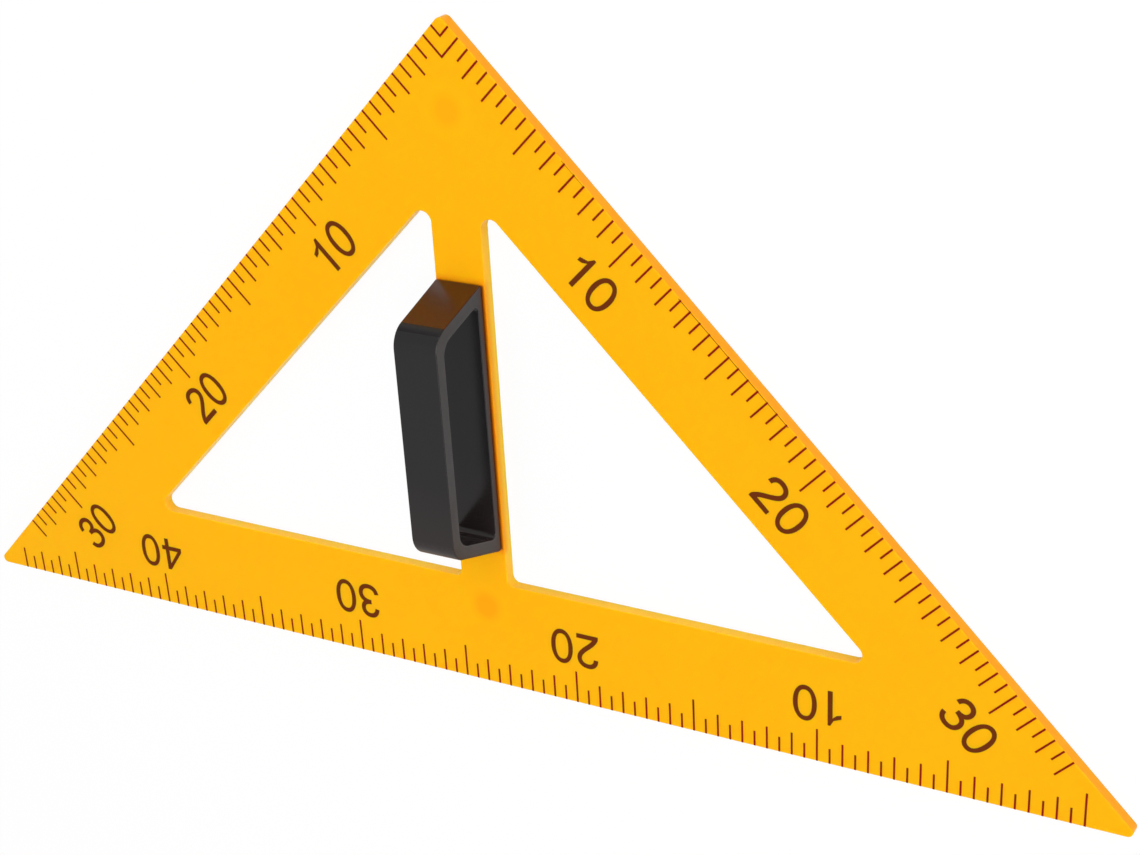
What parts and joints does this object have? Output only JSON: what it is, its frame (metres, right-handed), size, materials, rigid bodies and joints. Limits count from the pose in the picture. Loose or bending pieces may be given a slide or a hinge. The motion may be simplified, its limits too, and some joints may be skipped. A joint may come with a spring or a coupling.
{
  "type": "board set square",
  "caption": "Large right-angled isosceles set square for a school board, with two windows, a ring handle on the central bar and printed centimetre scales.",
  "frame": {"origin": "under the middle of the plate's bounding box, on the plane of its flat back", "axes": "+X along the long side, +Y from the long side towards the right angle, +Z out of the printed face towards the handle's grip"},
  "size_m": [0.5106, 0.257, 0.0364],
  "materials": {
    "plate_plastic": "orange-yellow moulded plastic, soft satin gloss",
    "handle_plastic": "black moulded plastic, satin",
    "mark_ink": "dark red-brown printing ink",
    "numeral_ink": "dark brown printing ink",
    "zinc_steel": "zinc-plated steel",
    "magnet_ferrite": "dark grey sintered ferrite, satin"
  },
  "bodies": {
    "root": {"set_square_plate": "plate_plastic", "handle": "handle_plastic", "upper_handle_screw": "zinc_steel", "lower_handle_screw": "zinc_steel", "upper_magnet": "magnet_ferrite", "lower_magnet": "magnet_ferrite", "left_leg_marks": "mark_ink", "left_leg_10_tens_digit": "numeral_ink", "left_leg_10_units_digit": "numeral_ink", "left_leg_20_tens_digit": "numeral_ink", "left_leg_20_units_digit": "numeral_ink", "left_leg_30_tens_digit": "numeral_ink", "left_leg_30_units_digit": "numeral_ink", "right_leg_marks": "mark_ink", "right_leg_10_tens_digit": "numeral_ink", "right_leg_10_units_digit": "numeral_ink", "right_leg_20_tens_digit": "numeral_ink", "right_leg_20_units_digit": "numeral_ink", "right_leg_30_tens_digit": "numeral_ink", "right_leg_30_units_digit": "numeral_ink", "long_side_marks": "mark_ink", "long_side_10_tens_digit": "numeral_ink", "long_side_10_units_digit": "numeral_ink", "long_side_20_tens_digit": "numeral_ink", "long_side_20_units_digit": "numeral_ink", "long_side_30_tens_digit": "numeral_ink", "long_side_30_units_digit": "numeral_ink", "long_side_40_tens_digit": "numeral_ink", "long_side_40_units_digit": "numeral_ink", "corner_mark_1": "mark_ink", "corner_mark_2": "mark_ink"}
  },
  "joints": []
}
